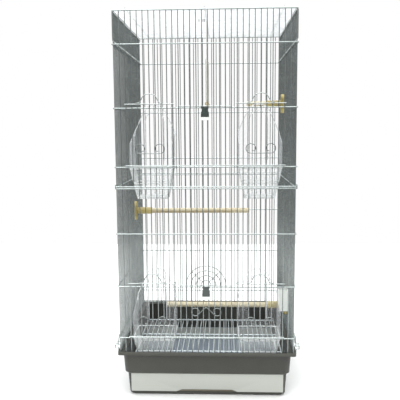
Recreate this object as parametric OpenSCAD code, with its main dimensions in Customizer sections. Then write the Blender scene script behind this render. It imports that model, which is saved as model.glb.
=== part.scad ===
// Square parakeet cage: two stacked welded wire sections and a wire ceiling on a deep plastic base
// with a pull-out tray. Units are millimetres. Z is up, the front faces -Y, and the origin is on the
// floor under the middle of the cage.

/* [Overall size] */
// Distance between the left and right corner wires
cage_w = 465; // [380:1:620]
// Distance between the front and back corner wires
cage_d = 465; // [380:1:620]
// Wanted distance from one upright wire to the next
wire_pitch = 15; // [12:0.5:18]

/* [Heights] */
// Height of the plastic base, up to the top of its rim
base_h = 131; // [110:1:170]
// From the top of the rim to the seam between the two wire sections
lower_h = 444.5; // [400:0.5:600]
// From the seam to the top rail of the upper section
upper_h = 449.9; // [420:0.1:600]
// From the top of the rim to the sill of the lower doors
lower_sill_rise = 39; // [30:1:60]
// From the sill to the head of the lower doors
lower_door_h = 141; // [120:1:160]
// From the head of the lower doors to the rail above
lower_rail_rise = 142; // [136:1:180]
// From the seam to the sill of the upper doors
upper_sill_rise = 53.5; // [45:0.5:70]
// From the sill to the head of the upper doors
upper_door_h = 152; // [120:1:160]
// From the head of the upper doors to the rail above
upper_rail_rise = 161; // [150:1:180]

/* [Wires] */
// Diameter of the upright wires
bar_d = 2.4; // [2:0.1:3]
// Diameter of the cross rails
rail_d = 3; // [2.5:0.1:3.6]
// Diameter of the wires across the ceiling
roof_d = 2.6; // [2:0.1:3]
// Diameter of the rods that run front to back over the ceiling
roof_rod_d = 3; // [2.4:0.1:4]
// Gap left between wires at a spot weld
weld_gap = 0.02; // [0.01:0.01:0.05]

/* [Doors] */
// Width of the middle doors, counted in gaps between wires
access_gaps = 9; // [7:2:9]
// Width of the feeder doors, counted in gaps between wires
feeder_gaps = 8; // [5:1:8]
// Width of the posts between the doors, counted in gaps between wires
post_gaps = 1; // [1:1:2]
// Diameter of the upright wires of a door
door_bar_d = 2.2; // [1.8:0.1:2.6]
// Diameter of the frame wires of a door
door_rail_d = 2.5; // [2:0.1:3]
// Diameter of the scroll and arch wires
scroll_d = 2; // [1.6:0.1:2.4]
// Room between a door and the wires it lies on
door_gap = 0.5; // [0.4:0.1:1]
// Height of a door's bottom rail above its sill
door_foot = 4.5; // [4:0.5:6]
// Height of a door's top rail above its head
door_crown = 10; // [6:1:14]
// Room left above the guide loops when a feeder door is fully raised
lift_reserve = 20; // [12:1:40]

/* [Scrollwork] */
// Distance between the two rings on a feeder door
ring_span = 51; // [40:1:60]
// Radius of a ring on a feeder door
ring_r = 12.2; // [9:0.1:15]
// Height of the ring centres above the sill
ring_rise = 48; // [40:1:60]
// Distance between the two curls on the lower middle door
curl_span = 58; // [50:1:70]
// Radius of a curl on the lower middle door
curl_r = 10.5; // [8:0.5:13]
// Height of the curl centres above the sill
curl_rise = 74; // [60:1:90]
// Outer radius of the fan of arches on the lower middle door
arch_r = 52; // [44:1:60]
// Radial distance between two arches of the fan
arch_band = 13; // [10:1:14]

/* [Latches] */
// Width of a latch
latch_w = 21; // [18.6:0.1:24]
// Height of the front plate of a latch
latch_h = 26; // [22:1:30]
// Height of the thumb tab under a latch
tab_h = 8; // [6:1:12]
// Distance that a latch slides up to hook behind the head rail
latch_travel = 6; // [4:1:7]

/* [Base] */
// Wall of the tub and thickness of the rim
base_wall = 3; // [2.5:0.1:4]
// Height of the rim's skirt
rim_h = 9; // [8:0.5:12]
// Radius of the rim's upright corners
rim_corner_r = 7; // [6:0.5:7.5]
// Distance from the outside of the rim to the tub wall, at the top of the tub
rim_reach = 11; // [10:0.5:16]
// Distance that the tub wall leans in from top to bottom
tub_lean = 4; // [0:0.5:5]
// Chamfer around the bottom of the tub
tub_chamfer = 4; // [1:0.5:4.5]
// Distance from the tub wall to the narrower lower case
case_step = 7; // [5:0.5:9]
// Distance that the lower case leans in from top to bottom
case_lean = 4; // [0:0.5:6]
// Chamfer around the foot of the base
foot_chamfer = 6; // [2:0.5:8]
// Height of the drawer bay's ceiling, where the tub starts
case_h = 64; // [56:1:78]
// Thickness of the bottom of the base
floor_t = 12; // [8:0.5:14]
// Thickness of the walls beside the drawer
case_wall = 6; // [6:0.5:10]
// Width of the shelf that the floor grate lies on
shelf_w = 13; // [8:1:16]
// Radius of the base's upright corners
corner_r = 18; // [10:1:24]

/* [Drawer] */
// Room between the drawer and the walls of its bay
drawer_gap = 0.5; // [0.4:0.1:1.5]
// Wall of the tray
tray_wall = 2.5; // [2:0.1:4]
// Height of the tray behind its front
tray_h = 34; // [24:1:40]
// Thickness of the drawer front
front_t = 4; // [3:0.5:6]
// Distance that the drawer front stands out of its bay
front_proud = 3; // [1:0.5:5]
// Width of the finger recess at its lower edge
grip_w = 171; // [100:1:190]
// Height of the finger recess
grip_h = 6; // [4:0.5:10]

/* [Feed cups] */
// Width of a cup at its rim
cup_w = 114; // [60:1:114]
// Depth of a cup from front to back, at its rim
cup_d = 106; // [80:1:120]
// Height of a cup
cup_h = 84; // [50:1:86]
// Distance that the sides and back of a cup lean in from rim to bottom
cup_lean = 16; // [4:1:20]
// Distance that the front of a cup leans in from rim to bottom
cup_front_lean = 24; // [22:1:32]
// Wall of a cup and its seed guard
cup_wall = 2; // [1.6:0.1:3]
// Height of a seed guard above the sill
guard_h = 166; // [150:1:190]
// Radius of the round top of a seed guard
guard_r = 35; // [30:1:45]
// Width of the feeding hole through a seed guard
feed_hole_w = 48; // [36:1:56]
// Width of one hook of a cup
hook_w = 10; // [6:0.5:11]
// Height that a cup lifts to clear its rail
cup_lift = 20; // [12:1:24]

/* [Perches] */
// Diameter of the wooden perches
perch_d = 15.5; // [12:0.1:18]
// Length of the upper and lower perches
perch_len = 338; // [250:1:350]
// Length of the short perch
short_perch_len = 96; // [70:1:150]
// Length of the hub that holds a perch
hub_len = 46; // [30:1:60]
// Height of a perch holder's flange
flange_h = 57; // [45:1:60]
// Distance of the upper perch behind the front wires
upper_perch_y = 282; // [200:1:320]
// Height of the upper perch above the seam's lower section floor
upper_perch_z = 477; // [455:1:540]
// Distance of the lower perch behind the front wires
lower_perch_y = 172; // [150:1:200]
// Height of the lower perch
lower_perch_z = 210; // [190:1:260]
// Distance of the short perch behind the front wires
short_perch_y = 311; // [300:1:340]
// Height of the short perch
short_perch_z = 802; // [700:1:850]

/* [Swing] */
// Distance from the front wires to the nearer leg of the swing
swing_y = 180; // [170:1:220]
// Number of roof gaps between the two legs of the swing
swing_gaps = 5; // [4:1:7]
// Distance from the ceiling rod down to the swing's perch
swing_drop = 233; // [180:1:260]
// Diameter of the swing's perch
swing_perch_d = 12; // [10:0.5:16]
// Length of the sleeves on the swing's legs
sleeve_len = 118; // [60:1:130]

/* [Fittings] */
// Width of the treat box
treat_w = 28; // [20:1:34]
// Depth of the treat box
treat_d = 22; // [16:1:26]
// Height of the treat box
treat_h = 62; // [40:1:80]
// Height of the bottom of the treat box
treat_z = 204; // [150:1:260]
// Distance of the treat box behind the front wires
treat_y = 128; // [120:1:150]
// Width of a clamp that holds the wire body on the base
clamp_w = 24; // [16:1:30]
// Distance from the corner wire to the middle of a clamp
clamp_inset = 30; // [24:1:60]
// Distance that the thumb loop of a clamp stands out of the rim
clamp_elbow = 9; // [6:0.5:14]

/* [Hidden] */

// Facets of round wires and of larger round shapes
wire_fn = 24;
round_fn = 64;

bar_r = bar_d / 2;
rail_r = rail_d / 2;
roof_r = roof_d / 2;
roof_rod_r = roof_rod_d / 2;
door_bar_r = door_bar_d / 2;
door_rail_r = door_rail_d / 2;
scroll_r = scroll_d / 2;

// Wires across the front are an odd number of gaps apart, so the doors stay in the middle
half_w = cage_w / 2;
half_d = cage_d / 2;
gaps_x = 2 * floor(cage_w / wire_pitch / 2) + 1;
gaps_y = round(cage_d / wire_pitch);
pitch_x = cage_w / gaps_x;
pitch_y = cage_d / gaps_y;

// The first and last wire of every post beside a door, counted from the left
post_a = (gaps_x - access_gaps) / 2 - post_gaps - feeder_gaps;
post_b = post_a + feeder_gaps;
post_c = post_b + post_gaps + access_gaps;
post_d = post_c + post_gaps + feeder_gaps;
feeder_x = pitch_x * (access_gaps / 2 + post_gaps + feeder_gaps / 2);
access_half = pitch_x * access_gaps / 2;
feeder_half = pitch_x * feeder_gaps / 2;

// Rails lie on the outside of the upright wires
rail_out = bar_r + weld_gap + rail_r;
inner_d = half_d - bar_r - weld_gap;
rail_y = -half_d - rail_out;

// Heights of the rails
seat_z = base_h - rim_h + base_wall;
seam_z = base_h + lower_h;
seam_half = rail_r + 1;
top_z = seam_z + upper_h;
lower_sill = base_h + lower_sill_rise;
lower_head = lower_sill + lower_door_h;
upper_sill = seam_z + upper_sill_rise;
upper_head = upper_sill + upper_door_h;
lower_bottom_rail = seat_z + rail_r + weld_gap;
lower_rails = [lower_head + lower_rail_rise, seam_z - seam_half];
upper_rails = [upper_head + upper_rail_rise, top_z];
lower_bars = [seat_z + weld_gap, seam_z - 1];

// The roof wires bend down over the sides and hook behind the highest side rail
roof_z = top_z + rail_r + weld_gap + roof_r;
roof_rod_z = roof_z + roof_r + weld_gap + roof_rod_r;
bend_r = 4;
skirt_x = half_w + rail_out;
skirt_top = roof_z - bend_r;
skirt_foot = upper_rails[0] + 14;
hook_x = half_w - roof_r + 0.1;
roof_rod_x = half_w - 32;
side_bar_top = skirt_top - bend_r + roof_r - 0.4;
side_top_rail = side_bar_top - 3.4;

// The front and back wires end just under the bends that leave the roof's corners
bend_room = max(0, pow(bend_r - roof_r, 2) - pow(bend_r - rail_r - weld_gap, 2));
upper_bars = [seam_z + 1, skirt_top + sqrt(bend_room) - 0.2];

// Door planes, from the rails outwards
door_y = rail_y - rail_r - door_gap - door_bar_r;
door_rail_y = door_y - door_bar_r - weld_gap - door_rail_r;
scroll_y = door_y - door_bar_r - weld_gap - scroll_r;

// Base
rim_w = cage_w + 2 * (rail_out + rail_r + 0.28 + base_wall);
rim_d = cage_d + 2 * (rail_out + rail_r + 0.28 + base_wall);
tub_w = rim_w - 2 * rim_reach;
tub_d = rim_d - 2 * rim_reach;
tub_low_w = tub_w - 2 * tub_lean;
tub_low_d = tub_d - 2 * tub_lean;
case_w = tub_low_w - 2 * case_step;
case_d = tub_low_d - 2 * case_step;
case_low_w = case_w - 2 * case_lean;
case_low_d = case_d - 2 * case_lean;
bay_w = case_low_w - 2 * case_wall;
bay_d = case_low_d - 2 * case_wall;
tub_in_w = tub_low_w - 2 * base_wall;
tub_in_d = tub_low_d - 2 * base_wall;
shelf_z = case_h + base_wall;
grate_z = shelf_z + 2.02;

// Drawer
drawer_w = bay_w - 2 * drawer_gap;
drawer_front_y = -case_d / 2 - front_proud + 2;
drawer_back_y = bay_d / 2 - 2;
drawer_z = floor_t + drawer_gap;
drawer_front_h = case_h - drawer_gap - drawer_z;

// Positions of one wire, of a gap between two wires, and of the drawer side of a gap
function bar_x(i) = -half_w + i * pitch_x;
function gap_y(distance) = -half_d + (floor(distance / pitch_y) + 0.5) * pitch_y;
function is_post(i) = i <= post_a || (i >= post_b && i <= post_b + post_gaps)
  || (i >= post_c && i <= post_c + post_gaps) || i >= post_d;

// ---------- helpers ----------

// Straight round wires along X, Y and Z, and from any point to another
module wire_x(x0, x1, y, z, r) {
  translate([x0, y, z]) rotate([0, 90, 0]) cylinder(r = r, h = x1 - x0, $fn = wire_fn);
}

module wire_y(y0, y1, x, z, r) {
  translate([x, y0, z]) rotate([-90, 0, 0]) cylinder(r = r, h = y1 - y0, $fn = wire_fn);
}

module wire_z(z0, z1, x, y, r) {
  translate([x, y, z0]) cylinder(r = r, h = z1 - z0, $fn = wire_fn);
}

module wire_to(p, q, r) {
  v = q - p;
  translate(p)
    rotate([0, acos(v[2] / norm(v)), atan2(v[1], v[0])])
      cylinder(r = r, h = norm(v), $fn = wire_fn);
}

// A chain of straight wires with a ball in every elbow
module wire_chain(points, r) {
  for (i = [0 : len(points) - 2])
    wire_to(points[i], points[i + 1], r);
  for (i = [1 : len(points) - 2])
    translate(points[i]) sphere(r = 1.2 * r, $fn = wire_fn);
}

// A curved wire in an upright plane that faces the front: angles run from +X towards +Z
module wire_arc(x, y, z, bend, r, from, sweep) {
  translate([x, y, z])
    rotate([90, 0, 0])
      rotate([0, 0, from])
        rotate_extrude(angle = sweep, $fn = round_fn)
          translate([bend, 0]) circle(r = r, $fn = wire_fn);
}

// A full ring around a wire that runs along X
module ring_about_x(x, y, z, bend, r) {
  translate([x, y, z]) rotate([0, 90, 0])
    rotate_extrude($fn = round_fn) translate([bend, 0]) circle(r = r, $fn = wire_fn);
}

// A box with round upright corners, standing on z0
module round_box(w, d, z0, z1, r) {
  translate([-w / 2 + r, -d / 2, z0]) cube([w - 2 * r, d, z1 - z0]);
  translate([-w / 2, -d / 2 + r, z0]) cube([w, d - 2 * r, z1 - z0]);
  for (sx = [-1, 1], sy = [-1, 1])
    translate([sx * (w / 2 - r), sy * (d / 2 - r), z0])
      cylinder(r = r, h = z1 - z0, $fn = round_fn);
}

// The same box with a different size at the top and at the bottom, and a chamfer c below
module moulded_box(w0, d0, w1, d1, z0, z1, r, c) {
  hull()
    for (sx = [-1, 1], sy = [-1, 1]) {
      translate([sx * (w0 / 2 - c - r), sy * (d0 / 2 - c - r), z0]) cylinder(r = r, h = 0.1, $fn = 32);
      translate([sx * (w0 / 2 - r), sy * (d0 / 2 - r), z0 + c]) cylinder(r = r, h = 0.1, $fn = 32);
      translate([sx * (w1 / 2 - r), sy * (d1 / 2 - r), z1 - 0.1]) cylinder(r = r, h = 0.1, $fn = 32);
    }
}

// ---------- base ----------

module base_case() {
  color("#4f4d45")
    difference() {
      union() {
        moulded_box(case_low_w, case_low_d, case_w, case_d, 0, case_h, corner_r - 4, foot_chamfer);
        moulded_box(tub_low_w, tub_low_d, tub_w, tub_d, case_h, seat_z, corner_r, tub_chamfer);
        round_box(rim_w, rim_d, base_h - rim_h, base_h, rim_corner_r);
      }
      // the well above the rim's ledge, where the wire body stands
      round_box(rim_w - 2 * base_wall, rim_d - 2 * base_wall, seat_z, base_h + 1, rim_corner_r - base_wall);
      // the inside of the tub, down to the shelf
      round_box(tub_in_w, tub_in_d, shelf_z, base_h + 1, corner_r - base_wall);
      // through the shelf into the drawer bay
      round_box(tub_in_w - 2 * shelf_w, tub_in_d - 2 * shelf_w, case_h - 1, shelf_z + 1, 4);
      // the drawer bay, open to the front
      translate([-bay_w / 2, -case_d, floor_t]) cube([bay_w, case_d + bay_d / 2, case_h - floor_t]);
    }
}

module drawer_tray() {
  grip_lean = (grip_w - grip_w * 0.8) / 2;
  color("#c8cac0")
    difference() {
      union() {
        translate([-drawer_w / 2, drawer_front_y, drawer_z]) cube([drawer_w, front_t, drawer_front_h]);
        translate([-drawer_w / 2, drawer_front_y + front_t, drawer_z])
          cube([drawer_w, drawer_back_y - drawer_front_y - front_t, tray_h]);
      }
      translate([-drawer_w / 2 + tray_wall, drawer_front_y + front_t, drawer_z + tray_wall])
        cube([drawer_w - 2 * tray_wall, drawer_back_y - drawer_front_y - front_t - tray_wall, tray_h]);
      // finger recess under the front
      translate([0, drawer_front_y + front_t - 1, drawer_z])
        rotate([90, 0, 0])
          linear_extrude(front_t)
            polygon([
              [-grip_w / 2, -1], [grip_w / 2, -1], [grip_w / 2 - grip_lean, grip_h],
              [-grip_w / 2 + grip_lean, grip_h]
            ]);
    }
}

module floor_grate() {
  frame_r = 2;
  // the frame's corners keep clear of the tub's round corners
  round_in = corner_r - base_wall;
  inset = max(frame_r + 2, round_in - (round_in - frame_r - 0.4) / sqrt(2));
  half_gw = tub_in_w / 2 - inset;
  half_gd = tub_in_d / 2 - inset;
  bars = floor(2 * half_gw / wire_pitch);
  step = 2 * half_gw / bars;
  bar_z = grate_z + frame_r + weld_gap + bar_r;
  color("#d9dcdc") {
    for (s = [-1, 1]) {
      wire_x(-half_gw + frame_r, half_gw - frame_r, s * half_gd, grate_z, frame_r);
      wire_y(-half_gd + frame_r, half_gd - frame_r, s * half_gw, grate_z, frame_r);
      wire_x(-half_gw + frame_r + 0.1, half_gw - frame_r - 0.1, s * half_gd / 3, grate_z, frame_r);
      for (t = [-1, 1])
        translate([s * half_gw, t * half_gd, grate_z]) sphere(r = frame_r, $fn = wire_fn);
    }
    for (i = [1 : bars - 1])
      wire_y(-half_gd - frame_r, half_gd + frame_r, -half_gw + i * step, bar_z, bar_r);
  }
}

// ---------- wire panels ----------

// One side wall: upright wires and the rails on its outside
module side_panel(s, z0, z1, rails) {
  color("silver") {
    for (i = [1 : gaps_y - 1])
      wire_z(z0, z1, s * half_w, -half_d + i * pitch_y, bar_r);
    for (z = rails)
      wire_y(-half_d - bar_r, half_d + bar_r, s * (half_w + rail_out), z, rail_r);
  }
}

// The back wall, which carries the back corner wires
module back_panel(z0, z1, rails) {
  color("silver") {
    for (i = [0 : gaps_x])
      wire_z(z0, z1, bar_x(i), half_d, bar_r);
    for (z = rails)
      wire_x(-half_w - bar_r, half_w + bar_r, half_d + rail_out, z, rail_r);
  }
}

// The band of the front wall under the doors, up to their sill
module front_sill(z0, sill, low_rail) {
  color("silver") {
    for (i = [0 : gaps_x])
      wire_z(z0, is_post(i) ? sill : sill + rail_r, bar_x(i), -half_d, bar_r);
    for (z = [low_rail, sill])
      wire_x(-half_w - bar_r, half_w + bar_r, rail_y, z, rail_r);
  }
}

// The posts between and beside the doors
module front_posts(sill, head) {
  color("silver")
    for (i = [0 : gaps_x])
      if (is_post(i))
        wire_z(sill, head, bar_x(i), -half_d, bar_r);
}

// The band of the front wall over the doors
module front_head(head, z1, rails) {
  color("silver") {
    for (i = [0 : gaps_x])
      wire_z(is_post(i) ? head : head - rail_r, z1, bar_x(i), -half_d, bar_r);
    for (z = concat([head], rails))
      wire_x(-half_w - bar_r, half_w + bar_r, rail_y, z, rail_r);
  }
}

lower_side_rails = concat([lower_bottom_rail, lower_sill, lower_head], lower_rails);
upper_side_rails = [seam_z + seam_half, upper_sill, upper_head, upper_rails[0]];

module lower_left_panel() { side_panel(-1, lower_bars[0], lower_bars[1], lower_side_rails); }
module lower_right_panel() { side_panel(1, lower_bars[0], lower_bars[1], lower_side_rails); }
module lower_back_panel() { back_panel(lower_bars[0], lower_bars[1], lower_side_rails); }
module lower_front_sill() { front_sill(lower_bars[0], lower_sill, lower_bottom_rail); }
module lower_front_posts() { front_posts(lower_sill, lower_head); }
module lower_front_head() { front_head(lower_head, lower_bars[1], lower_rails); }

// The inner top rail of an upper side wall, under the roof's corner rod
module side_top_rail(s) {
  color("silver")
    wire_y(-inner_d, inner_d, s * (half_w - rail_out), side_top_rail, rail_r);
}

// The inner rails of an upper side wall: one on its foot, one on the feet of the roof's hooks
module side_inner_rails(s) {
  color("silver") {
    wire_y(-inner_d, inner_d, s * (half_w - rail_out), seam_z + seam_half, rail_r);
    wire_y(-inner_d, inner_d, s * (hook_x - roof_r - weld_gap - rail_r), upper_rails[0], rail_r);
  }
}

module upper_left_panel() {
  side_panel(-1, upper_bars[0], side_bar_top, upper_side_rails);
  side_top_rail(-1);
  side_inner_rails(-1);
}

module upper_right_panel() {
  side_panel(1, upper_bars[0], side_bar_top, upper_side_rails);
  side_top_rail(1);
  side_inner_rails(1);
}

module upper_back_panel() { back_panel(upper_bars[0], upper_bars[1], concat(upper_side_rails, [top_z])); }
module upper_front_sill() { front_sill(upper_bars[0], upper_sill, seam_z + seam_half); }
module upper_front_posts() { front_posts(upper_sill, upper_head); }
module upper_front_head() { front_head(upper_head, upper_bars[1], upper_rails); }

// ---------- ceiling ----------

// Y of every roof wire: half a gap off the side wires, and one on each edge
roof_ys = concat([-half_d], [for (i = [0 : gaps_y - 1]) -half_d + (i + 0.5) * pitch_y], [half_d]);
corner_rod_r = bend_r - roof_r - 0.2;

module ceiling_panel() {
  color("silver") {
    for (y = roof_ys)
      wire_x(-skirt_x + bend_r, skirt_x - bend_r, y, roof_z, roof_r);
    for (x = [-roof_rod_x, 0, roof_rod_x])
      wire_y(-half_d - roof_r, half_d + roof_r, x, roof_rod_z, roof_rod_r);
    for (s = [-1, 1])
      wire_y(-inner_d, inner_d, s * (skirt_x - bend_r), skirt_top, corner_rod_r);
  }
}

module ceiling_skirts() {
  color("silver")
    for (s = [-1, 1], y = [for (i = [1 : len(roof_ys) - 2]) roof_ys[i]])
      wire_z(skirt_foot, skirt_top, s * skirt_x, y, roof_r);
}

// The round bends between the ceiling and its skirts
module ceiling_bends() {
  color("silver")
    for (s = [-1, 1], i = [0 : len(roof_ys) - 1])
      mirror([s < 0 ? 1 : 0, 0, 0])
        wire_arc(skirt_x - bend_r, roof_ys[i], skirt_top, bend_r, roof_r, 0, 90);
}

// The hooks at the feet of the skirts, which reach in behind the highest side rail
module skirt_hooks() {
  color("silver")
    for (s = [-1, 1], i = [1 : len(roof_ys) - 2])
      mirror([s < 0 ? 1 : 0, 0, 0])
        wire_chain([
          [skirt_x, roof_ys[i], skirt_foot], [skirt_x, roof_ys[i], skirt_foot - 2],
          [hook_x, roof_ys[i], skirt_foot - 9], [hook_x, roof_ys[i], skirt_foot - 22]
        ], roof_r);
}

// Three small wire hooks over the roof wires, from which the bird's things hang
module ceiling_hooks() {
  hook_r = 1;
  reach = roof_r + 0.4 + hook_r;
  y = gap_y(swing_y) - 1.5 * pitch_y - pitch_y;
  color("silver")
    for (x = [-20, -9, -3.6 - roof_rod_r])
      translate([x, y, roof_z]) rotate([0, 0, 90]) {
        wire_arc(0, 0, 10, reach, hook_r, 0, 180);
        wire_z(-8, 10, -reach, 0, hook_r);
        wire_z(-2, 10, reach, 0, hook_r);
      }
}

// Flat spring clips around both rails of the seam, near the four corners
module seam_clips() {
  clip_t = 1.2;
  depth = rail_d + 1.2;
  height = 2 * seam_half + rail_d + 0.8;
  color("silver")
    for (s = [-1, 1], y = [-half_d + 1.3 * pitch_y, half_d - 1.3 * pitch_y])
      translate([s * (half_w + rail_out), y, seam_z])
        rotate([90, 0, 0])
          linear_extrude(7, center = true)
            mirror([s < 0 ? 1 : 0, 0])
              difference() {
                translate([-rail_r - 0.6, -height / 2 - clip_t]) square([depth + 2.4, height + 2 * clip_t]);
                translate([-rail_r - 1, -height / 2]) square([depth + 1.2, height]);
                translate([-rail_r - 1, -seam_half / 2]) square([0.1, seam_half]);
              }
}

// ---------- doors ----------

// Upright wires and two or three frame rails of a door, centred on x
module door_wires(x, gaps, half, z0, z1, top_rail_y) {
  rail_half = half + door_rail_r + 2;
  color("silver") {
    for (i = [1 : gaps - 1])
      wire_z(z0, z1, x - half + i * 2 * half / gaps, door_y, door_bar_r);
    for (s = [-1, 1])
      wire_z(z0, z1, x + s * half, door_y, door_bar_r);
  }
}

// A middle door: its top rail lies behind its wires, so that the latch can pass
module access_door(sill, head) {
  z0 = sill + door_foot;
  z1 = head + 4;
  top_y = door_y + door_bar_r + weld_gap + door_rail_r;
  color("silver") {
    door_wires(0, access_gaps, access_half, z0 - door_rail_r, z1 + door_rail_r);
    wire_x(-access_half - 11, access_half + 11, door_rail_y, z0, door_rail_r);
    wire_x(-access_half - door_bar_r, access_half + door_bar_r, top_y, z1, door_rail_r);
  }
}

// Rings around the sill rail, on which a middle door turns
module access_door_hinges(sill) {
  ring_r2 = rail_r + 0.4 + scroll_r;
  to_rail = [door_rail_y - rail_y, door_foot];
  reach = norm(to_rail);
  color("silver")
    for (s = [-1, 1]) {
      x = s * (access_half + pitch_x * post_gaps / 2);
      ring_about_x(x, rail_y, sill, ring_r2, scroll_r);
      wire_to(
        [x, rail_y + to_rail[0] * ring_r2 / reach, sill + to_rail[1] * ring_r2 / reach],
        [x, rail_y + to_rail[0] * (1 - (door_rail_r + weld_gap) / reach),
         sill + to_rail[1] * (1 - (door_rail_r + weld_gap) / reach)],
        scroll_r);
    }
}

module lower_access_door() { access_door(lower_sill, lower_head); }
module upper_access_door() { access_door(upper_sill, upper_head); }
module lower_access_door_hinges() { access_door_hinges(lower_sill); }
module upper_access_door_hinges() { access_door_hinges(upper_sill); }

// The fan of arches over the lower middle door, and the two curls joined by a wave on its wires
module lower_access_door_scroll() {
  base_z = lower_head + 4 + door_rail_r + 1;
  curl_z = lower_sill + curl_rise;
  low_z = curl_z - curl_r * sin(45);
  wave_x = curl_span / 2 - curl_r * cos(45);
  peak_r = 6;
  peak_z = low_z + wave_x - 2 * peak_r * cos(45);
  color("silver") {
    for (k = [0 : 3])
      wire_arc(0, scroll_y, base_z, arch_r - k * arch_band, scroll_r, 0, 180);
    for (a = [45, 90, 135], k = [0 : 2])
      translate([0, scroll_y, base_z]) rotate([0, 90 - a, 0])
        translate([0, 0, arch_r - (k + 1) * arch_band + scroll_r + weld_gap])
          cylinder(r = scroll_r, h = arch_band - 2 * scroll_r - 2 * weld_gap, $fn = wire_fn);
    for (s = [0, 1])
      mirror([s, 0, 0]) {
        // from the inner tip over the top and round the outside to the bottom, then half of the wave
        wire_arc(curl_span / 2 - curl_r / 2, scroll_y, curl_z, curl_r / 2, scroll_r, 180, 90);
        wire_arc(curl_span / 2, scroll_y, curl_z, curl_r, scroll_r, -135, 315);
        wire_to(
          [wave_x - weld_gap, scroll_y, low_z + weld_gap],
          [peak_r * cos(45) + weld_gap, scroll_y, peak_z + peak_r * sin(45) - weld_gap], scroll_r);
      }
    wire_arc(0, scroll_y, peak_z, peak_r, scroll_r, 45, 90);
  }
}

// A latch slides on the two middle wires of a door. Its tongue rises behind the head rail.
latch_wire_x = pitch_x / 2;
latch_gap = 0.3;
latch_front = door_y - door_bar_r - 4;
latch_mid = door_y - door_bar_r - latch_gap - 0.1;
tongue_y = rail_y + rail_r + latch_gap + 0.1;
tongue_t = 2;

module latch(head) {
  top = head + 2;
  low = top - latch_h;
  block_top = head - rail_r - latch_travel - 2.5;
  tongue_top = head - rail_r - 0.6;
  half = latch_w / 2;
  color("#1c1f1e")
    difference() {
      union() {
        // waisted front plate
        translate([0, latch_mid, 0]) rotate([90, 0, 0])
          linear_extrude(latch_mid - latch_front)
            polygon([
              [-half, low], [half, low], [half, low + 7], [half - 3, top - 9], [half - 3, top - 7],
              [half - 1, top - 4], [half - 1, top], [-half + 1, top], [-half + 1, top - 4],
              [-half + 3, top - 7], [-half + 3, top - 9], [-half, low + 7]
            ]);
        // block that the door wires pass through
        translate([-half + 0.4, latch_mid, low + 1])
          cube([latch_w - 0.8, door_y + door_bar_r + 1.6 - latch_mid, block_top - low - 1]);
        // web and tongue between the two wires
        translate([-4.5, latch_mid, low + 1]) cube([9, tongue_y + tongue_t - latch_mid, 8]);
        translate([-4.5, tongue_y, low + 1]) cube([9, tongue_t, tongue_top - low - 1]);
      }
      for (s = [-1, 1])
        translate([s * latch_wire_x, door_y, low - 1])
          cylinder(r = door_bar_r + 0.06, h = latch_h + 2, $fn = round_fn);
    }
}

// The pale thumb tab clipped to the bottom of a latch
module latch_tab(head) {
  top = head + 2 - latch_h - weld_gap;
  color("#e9ebe6")
    translate([0, latch_mid - 0.4, 0]) rotate([90, 0, 0])
      linear_extrude(latch_mid - 0.4 - latch_front + 1.6)
        polygon([
          [-latch_w / 2, top], [-latch_w / 2, top - tab_h * 0.5], [-latch_w / 2 + 3, top - tab_h],
          [latch_w / 2 - 3, top - tab_h], [latch_w / 2, top - tab_h * 0.5], [latch_w / 2, top]
        ]);
}

module lower_latch() { latch(lower_head); }
module upper_latch() { latch(upper_head); }
module lower_latch_tab() { latch_tab(lower_head); }
module upper_latch_tab() { latch_tab(upper_head); }

// A feeder door, which slides up in front of the wall
module feeder_door(s, sill, head) {
  z0 = sill + door_foot;
  z1 = head + door_crown;
  color("silver") {
    door_wires(s * feeder_x, feeder_gaps, feeder_half, z0 - door_rail_r, z1 + door_rail_r);
    for (z = [z0, z1])
      wire_x(s * feeder_x - feeder_half - 4, s * feeder_x + feeder_half + 4, door_rail_y, z, door_rail_r);
  }
}

// The ring pair of a feeder door, and the staples that guide it on the post wires
module feeder_scroll(s, sill, head) {
  ring_z = sill + ring_rise;
  tip_r = ring_r / 2;
  staple_r = bar_r + door_gap + scroll_r;
  staple_end = door_rail_y + door_rail_r + weld_gap;
  color("silver")
    translate([s * feeder_x, 0, 0]) {
      for (t = [0, 1])
        mirror([t, 0, 0]) {
          wire_arc(ring_span / 2, scroll_y, ring_z, ring_r, scroll_r, -90, 270);
          wire_arc(ring_span / 2 - tip_r, scroll_y, ring_z, tip_r, scroll_r, 180, 110);
          wire_x(0, ring_span / 2, scroll_y, ring_z - ring_r, scroll_r);
        }
      for (t = [-1, 1], z = [sill + door_foot, head + door_crown])
        translate([t * feeder_half, -half_d, z]) {
          rotate_extrude(angle = 180, $fn = round_fn)
            translate([staple_r, 0]) circle(r = scroll_r, $fn = wire_fn);
          for (u = [-1, 1])
            wire_y(staple_end + half_d, 0, u * staple_r, 0, scroll_r);
        }
    }
}

module lower_left_feeder_door() { feeder_door(-1, lower_sill, lower_head); }
module lower_right_feeder_door() { feeder_door(1, lower_sill, lower_head); }
module upper_left_feeder_door() { feeder_door(-1, upper_sill, upper_head); }
module upper_right_feeder_door() { feeder_door(1, upper_sill, upper_head); }
module lower_left_feeder_scroll() { feeder_scroll(-1, lower_sill, lower_head); }
module lower_right_feeder_scroll() { feeder_scroll(1, lower_sill, lower_head); }
module upper_left_feeder_scroll() { feeder_scroll(-1, upper_sill, upper_head); }
module upper_right_feeder_scroll() { feeder_scroll(1, upper_sill, upper_head); }

// ---------- feed cups ----------

cup_front = -half_d + bar_r + 0.5;
cup_back = cup_front + cup_d;

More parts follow.
